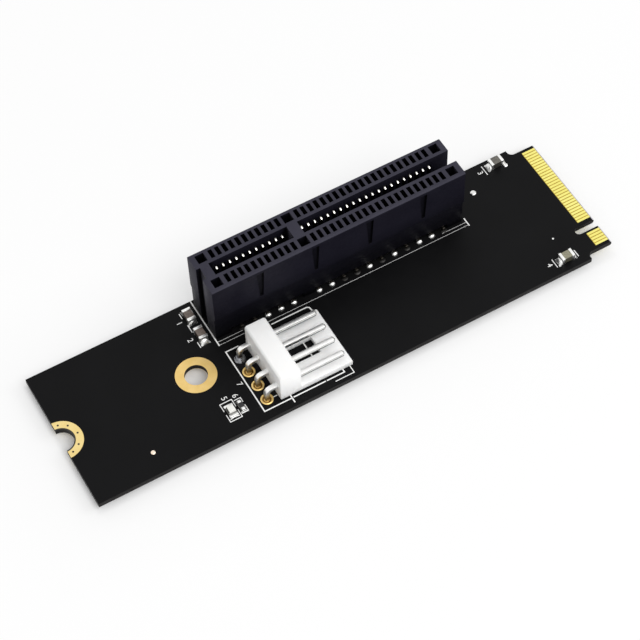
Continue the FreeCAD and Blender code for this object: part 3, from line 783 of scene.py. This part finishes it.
def lathe(bm, x, y, profile, steps=ROUND_STEPS):
    """Turn a profile of (radius, height) in millimetres about an upright axis at a place on the board.

    A profile that ends where it starts makes a ring; any other gets a flat base at its first point.
    """
    is_ring = profile[0] == profile[-1]
    rings = []
    for radius, height in profile[:-1] if is_ring else profile:
        count = steps if radius > 0 else 1
        turns = [2 * math.pi * k / count for k in range(count)]
        places = [at(x + radius * math.cos(turn), y + radius * math.sin(turn), height) for turn in turns]
        rings.append([bm.verts.new(place) for place in places])
    if is_ring:
        rings.append(rings[0])
    else:
        bm.faces.new(rings[0])
    for low, high in zip(rings, rings[1:]):
        for k in range(steps):
            n = k + 1
            add_face(bm, [low[k % len(low)], low[n % len(low)], high[n % len(high)], high[k % len(high)]])


def dome(radius, height, steps=5):
    """Profile of a bead: a quarter of an ellipse."""
    turns = [math.pi / 2 * k / steps for k in range(steps)]
    return [(radius * math.cos(turn), height * math.sin(turn)) for turn in turns] + [(0.0, height)]


def cone(foot, tip, height, cap, power, steps=4):
    """Profile of solder round a pin: the radii of its foot and tip, its height, and a low cap on top.

    A power over 1 makes the sides hollow, and one under 1 makes them full.
    """
    shares = [k / steps for k in range(steps + 1)]
    sides = [(tip + (foot - tip) * (1 - share) ** power, height * share) for share in shares]
    return sides + [(0.0, height + cap)]


def half_round(inner, outer, height, steps=5):
    """Profile of a ring with a flat underside and a rounded top."""
    middle = (inner + outer) / 2
    half = (outer - inner) / 2
    turns = [math.pi * k / steps for k in range(steps)]
    top = [(middle + half * math.cos(turn), height * math.sin(turn)) for turn in turns]
    return [(inner, 0.0)] + top + [(inner, 0.0)]


def under_board(profile):
    """The same profile, hanging from the board's lower face."""
    return [(radius, -BOARD_THICKNESS - height) for radius, height in profile]


# Printed lines and numerals

def ink_line(bm, points, width):
    """A printed line through points in board millimetres, square at its ends and mitred at its corners."""
    places = [Vector(point) for point in points]
    ways = [(after - before).normalized() for before, after in zip(places, places[1:])]
    places[0] -= ways[0] * width / 2
    places[-1] += ways[-1] * width / 2
    sections = []
    for place, way_in, way_out in zip(places, ways[:1] + ways, ways + ways[-1:]):
        left_of_out = Vector((-way_out.y, way_out.x))
        left = (Vector((-way_in.y, way_in.x)) + left_of_out).normalized()
        reach = left * width / 2 / left.dot(left_of_out)
        right_side = place - reach
        left_side = place + reach
        outline = [(right_side, 0.0), (right_side, INK_THICKNESS),
                   (left_side, INK_THICKNESS), (left_side, 0.0)]
        sections.append([bm.verts.new(at(corner.x, corner.y, z)) for corner, z in outline])
    bm.faces.new(sections[0])
    bm.faces.new(sections[-1])
    for first, second in zip(sections, sections[1:]):
        for k in range(len(first)):
            n = (k + 1) % len(first)
            bm.faces.new([first[k], first[n], second[n], second[k]])


def ink_numeral(bm, text, x, y):
    """A plain numeral with its middle at a place on the board."""
    curve = bpy.data.curves.new("numeral", "FONT")
    curve.body = text
    curve.size = NUMERAL_HEIGHT
    curve.extrude = INK_THICKNESS / 2
    curve.align_x = "CENTER"
    curve.align_y = "CENTER"
    holder = bpy.data.objects.new("numeral", curve)
    mesh = bpy.data.meshes.new_from_object(holder)
    scale = Matrix.Diagonal((MM, MM, MM, 1))
    spin = Matrix.Rotation(NUMERAL_TURN, 4, "Z")
    mesh.transform(Matrix.Translation(at(x, y, INK_THICKNESS / 2)) @ spin @ scale)
    bm.from_mesh(mesh)
    bpy.data.meshes.remove(mesh)
    bpy.data.objects.remove(holder)
    bpy.data.curves.remove(curve)


def print_legend(material):
    """All the printed ink, as one piece."""
    bm = bmesh.new()
    for node, lines in LEGEND_LINES.items():
        for width, points in lines:
            ink_line(bm, [beside(node, x, y) for x, y in points], width)
    lathe(bm, *DOT_PLACE, [(DOT_RADIUS, 0.0), (DOT_RADIUS, INK_THICKNESS), (0.0, INK_THICKNESS)], DOT_STEPS)
    for text, node, x, y in NUMERALS:
        ink_numeral(bm, text, *beside(node, x, y))
    new_piece("printed_legend", bm, material, smooth=False)


# Solder, lands and filled holes

def solder_tails(bright, painted_dark):
    """Solder on both faces of the board round every tail of the slot; most upper beads are starved."""
    rng = random.Random(SOLDER_SEED)
    for node in CONTACT_ROWS:
        full_joints = bmesh.new()
        starved_joints = bmesh.new()
        for points in islands(node):
            x, y = tail_place(points)
            hang = TAIL_CONE_HEIGHT * rng.uniform(*TAIL_CONE_RANGE)
            lathe(full_joints, x, y, under_board(cone(height=hang, **TAIL_CONE)))
            rise = TAIL_BEAD_HEIGHT * rng.uniform(*TAIL_BEAD_RANGE)
            if any(abs(x - place) < PROUD_WITHIN for place in PROUD_TAILS):
                lathe(full_joints, x, y, dome(TAIL_BEAD_RADIUS, rise))
            else:
                # Starved beads take the solder painted dark as shade
                lathe(starved_joints, x, y, dome(TAIL_BEAD_RADIUS, rise * STARVED_SHARE))
        new_piece(node.replace("slot_contacts", "solder"), full_joints, bright)
        new_piece(node.replace("slot_contacts", "solder_starved"), starved_joints, painted_dark)


def solder_pins(shiny, gold_plate, shaded_well_gold):
    """Solder under the header's pins, and above them a mound at one pin and gold lands at the others."""
    wells = bmesh.new()
    joints = bmesh.new()
    lands = bmesh.new()
    for pin in POWER_PINS:
        x, y = tail_place(islands(pin)[0])
        lathe(joints, x, y, under_board(cone(**PIN_CONE)))
        if pin == MOUND_PIN:
            lathe(joints, x, y, cone(**PIN_MOUND))
        else:
            lathe(lands, x, y, half_round(LAND_INNER, LAND_OUTER, LAND_HEIGHT))
            lathe(wells, x, y, WELL_PROFILE)
            lathe(lands, x + BEAD_OFF_X, y + BEAD_OFF_Y, BEAD_PROFILE)
    new_piece("pin_solder", joints, shiny)
    new_piece("pin_lands", lands, gold_plate)
    # The wells take gold painted dark as shade
    new_piece("pin_wells", wells, shaded_well_gold)


def add_bead(bm, x, y, radius, height):
    """A domed bead at a place on the board."""
    lathe(bm, x, y, dome(radius, height))


def fillet(bm, low, high, axis, outward, reach, steps=8, across_steps=8):
    """Solder against one end of a chip: rows of points from the end cap out to the edge of its land."""
    side = 1 - axis
    face = high[axis] if outward > 0 else low[axis]
    half = (high[side] - low[side]) / 2 + SIDE_SPREAD * MM
    centre = (high[side] + low[side]) / 2
    height = CLIMB_SHARE * (high.z - low.z)
    tops = []
    feet = []
    for k in range(steps + 1):
        share = k / steps
        top_row = []
        foot_row = []
        for j in range(across_steps + 1):
            off = 2 * j / across_steps - 1
            rise = height * (1 - share ** 2) * (1 - SIDE_LOSS * abs(off) ** 3)
            point = Vector((0, 0, BOARD_HIGH.z))
            point[axis] = face + outward * reach * MM * share
            point[side] = centre + off * half
            top_row.append(bm.verts.new(point + Vector((0, 0, rise))))
            foot_row.append(bm.verts.new(point) if k < steps else top_row[-1])
        tops.append(top_row)
        feet.append(foot_row)
    for sheet in (tops, feet):
        for first, second in zip(sheet, sheet[1:]):
            for j in range(across_steps):
                bm.faces.new([first[j], first[j + 1], second[j + 1], second[j]])
    rim = [(0, j) for j in range(across_steps)] + [(k, across_steps) for k in range(steps)]
    rim += [(steps, j) for j in range(across_steps, 0, -1)] + [(k, 0) for k in range(steps, 0, -1)]
    for (k, j), (n, m) in zip(rim, rim[1:] + rim[:1]):
        add_face(bm, [tops[k][j], tops[n][m], feet[n][m], feet[k][j]])


def solder_chips(material):
    """A rounded fillet at each end of every chip, shorter where two chips stand close."""
    bm = bmesh.new()
    for node in CHIP_ENDS:
        low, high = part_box(node)
        middle = (low + high) / 2
        axis = 1 if high.y - low.y > high.x - low.x else 0
        for points in islands(node):
            cap_low = Vector([min(p[k] for p in points) for k in range(3)])
            cap_high = Vector([max(p[k] for p in points) for k in range(3)])
            outward = 1 if (cap_low[axis] + cap_high[axis]) / 2 > middle[axis] else -1
            reach = CAPACITOR_REACH if node.startswith("capacitor") else SMALL_REACH
            if (node, outward) in CLOSE_ENDS:
                reach = CLOSE_REACH
            fillet(bm, cap_low, cap_high, axis, outward, reach)
    add_bead(bm, **LAND_BEAD)
    new_piece("chip_solder", bm, material)


def add_test_point(name, bead, material):
    """A bead of plated or tinned copper by itself on the board."""
    bm = bmesh.new()
    add_bead(bm, **bead)
    new_piece(name, bm, material)


def fill_ring_holes(material):
    """The filled holes of the half ring at the end notch."""
    bm = bmesh.new()
    ring_top = (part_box("end_notch_rings")[1].z - BOARD_HIGH.z) / MM
    profile = [(radius, ring_top + height) for radius, height in RING_HOLE_PROFILE]
    for angle in RING_HOLE_ANGLES:
        turn = math.radians(angle)
        across = BOARD_WIDTH / 2 + RING_HOLE_CIRCLE * math.sin(turn)
        lathe(bm, RING_HOLE_CIRCLE * math.cos(turn), across, profile, DOT_STEPS)
    new_piece("ring_vias", bm, material)


# The floor, the light and the camera

def direction(azimuth, elevation):
    """The way out to a camera or lamp; azimuth 0 is in front, and 90 is to the right."""
    a = math.radians(azimuth)
    e = math.radians(elevation)
    return Vector((math.sin(a) * math.cos(e), -math.cos(a) * math.cos(e), math.sin(e)))


def add_floor():
    """A plain pale floor under the card."""
    bm = bmesh.new()
    bmesh.ops.create_grid(bm, x_segments=2, y_segments=2, size=FLOOR_SIZE / 2)
    mesh = bpy.data.meshes.new("floor")
    bm.to_mesh(mesh)
    bm.free()
    mesh.materials.append(floor_paper())
    floor = bpy.data.objects.new("floor", mesh)
    floor.location.z = CAD_BOX[0][2]
    bpy.context.scene.collection.objects.link(floor)


def add_world():
    """White to the camera and to polished metal, and a plain soft light to everything else."""
    world = bpy.data.worlds.new("studio")
    world.use_nodes = True
    tree = world.node_tree
    background = tree.nodes["Background"]
    background.inputs["Color"].default_value = (1, 1, 1, 1)
    strength = tree.nodes.new("ShaderNodeMapRange")
    strength.inputs["To Min"].default_value = WORLD_LIGHT
    strength.inputs["To Max"].default_value = 1.0
    tree.links.new(seen_directly(tree), strength.inputs["Value"])
    tree.links.new(strength.outputs["Result"], background.inputs["Strength"])
    bpy.context.scene.world = world


def add_lamp(name, azimuth, elevation, distance, size, power):
    """A round lamp that looks at the middle of the card."""
    lamp = bpy.data.lights.new(name, "AREA")
    lamp.shape = "DISK"
    lamp.size = size
    lamp.energy = power
    holder = bpy.data.objects.new(name, lamp)
    holder.location = direction(azimuth, elevation) * distance
    holder.rotation_euler = (-direction(azimuth, elevation)).to_track_quat("-Z", "Y").to_euler()
    bpy.context.scene.collection.objects.link(holder)


def add_camera():
    """The photograph's camera."""
    camera = bpy.data.cameras.new("camera")
    camera.sensor_width = SENSOR_WIDTH
    camera.lens = FOCAL_PIXELS / IMAGE_SIZE * SENSOR_WIDTH
    camera.clip_start = NEAREST_SEEN * MM
    holder = bpy.data.objects.new("camera", camera)
    holder.location = Vector(CAMERA_AT) * MM
    look = (-direction(CAMERA_AZIMUTH, CAMERA_ELEVATION)).to_track_quat("-Z", "Y")
    holder.rotation_euler = (look @ Quaternion((0, 0, 1), math.radians(CAMERA_ROLL))).to_euler()
    bpy.context.scene.collection.objects.link(holder)
    bpy.context.scene.camera = holder


# Finishes that several pieces share, or that a recipe above makes in several tones

ring_gold = gold("ring_gold", srgb(244, 211, 140), srgb(236, 202, 125), roughness=0.42)
pale_gold = gold("pale_gold", srgb(255, 240, 222), srgb(250, 226, 200), roughness=0.3)
finger_gold = gold("finger_gold", srgb(252, 245, 146), srgb(246, 234, 124), roughness=0.3,
                   stretch=(6, 1, 1))
# Gold painted dark as shade, for the wells inside the pin lands
shaded_well_gold = gold("shaded_well_gold", srgb(136, 98, 38), srgb(112, 78, 28), roughness=0.45)
tin = metal("tin_plate", srgb(250, 250, 248), srgb(240, 240, 238), roughness=0.34)
pin_tin = pin_plate()
strip = contact_strip()
solder = metal("solder", srgb(238, 238, 236), srgb(222, 222, 220), roughness=0.26)
shiny_solder = metal("shiny_solder", srgb(190, 191, 194), srgb(96, 97, 101), roughness=0.14, lumps=0.12)
# Solder painted dark as shade, for the starved beads
shaded_solder = metal("shaded_solder", srgb(62, 61, 60), srgb(44, 43, 42), roughness=0.45)
white_plastic = moulding("header_plastic", srgb(250, 250, 249), srgb(246, 246, 245), roughness=0.45,
                         grain=0.3, glow_through=0.25)
via_fill = moulding("via_fill", srgb(50, 40, 22), srgb(36, 28, 16), roughness=0.5, grain=0.05)
brown_ceramic = ceramic("brown_ceramic", srgb(120, 108, 100), srgb(100, 89, 82))
grey_ceramic = ceramic("grey_ceramic", srgb(108, 105, 98), srgb(90, 87, 81))
tan_ceramic = ceramic("tan_ceramic", srgb(148, 145, 122), srgb(124, 121, 102))

# The CAD nodes, painted or replaced by softened copies

paint("circuit_board", board_mask())
paint("edge_fingers_top", finger_gold)
paint("edge_fingers_bottom", finger_gold)
paint("mid_hole_rings", ring_gold)
paint("end_notch_rings", notch_gold())
soften("slot_housing", slot_moulding(), width=0.05)
for row in CONTACT_ROWS:
    soften(row, strip, width=0.07)
soften("power_header_body", white_plastic, width=0.1, steps=3)
for pin in POWER_PINS:
    soften(pin, pin_tin, width=0.03)
for number, fired in enumerate((brown_ceramic, brown_ceramic, grey_ceramic, tan_ceramic), start=1):
    soften(f"capacitor_{number}", fired, width=0.06, steps=3)
    soften(f"capacitor_{number}_ends", tin, width=0.04)
soften("resistor_body", resistor_coat(), width=0.03)
soften("resistor_ends", tin_painted_highlight(), width=0.03)
soften("led_base", lamp_laminate(), width=0.03)
soften("led_ends", tin, width=0.03)
soften("led_lens", lamp_lens(), width=0.05, steps=3)

# Solder, lands, filled holes and ink

solder_tails(solder, shaded_solder)
solder_pins(shiny_solder, ring_gold, shaded_well_gold)
solder_chips(solder)
add_test_point("gold_test_point", GOLD_POINT, pale_gold)
add_test_point("tinned_test_point", TINNED_POINT, solder)
fill_ring_holes(via_fill)
print_legend(printed_ink())

# The scene round the card

add_floor()
add_world()
add_lamp("front_lamp", **FRONT_LAMP)
add_lamp("side_lamp", **SIDE_LAMP)
add_camera()
bpy.context.scene.view_settings.view_transform = "Standard"
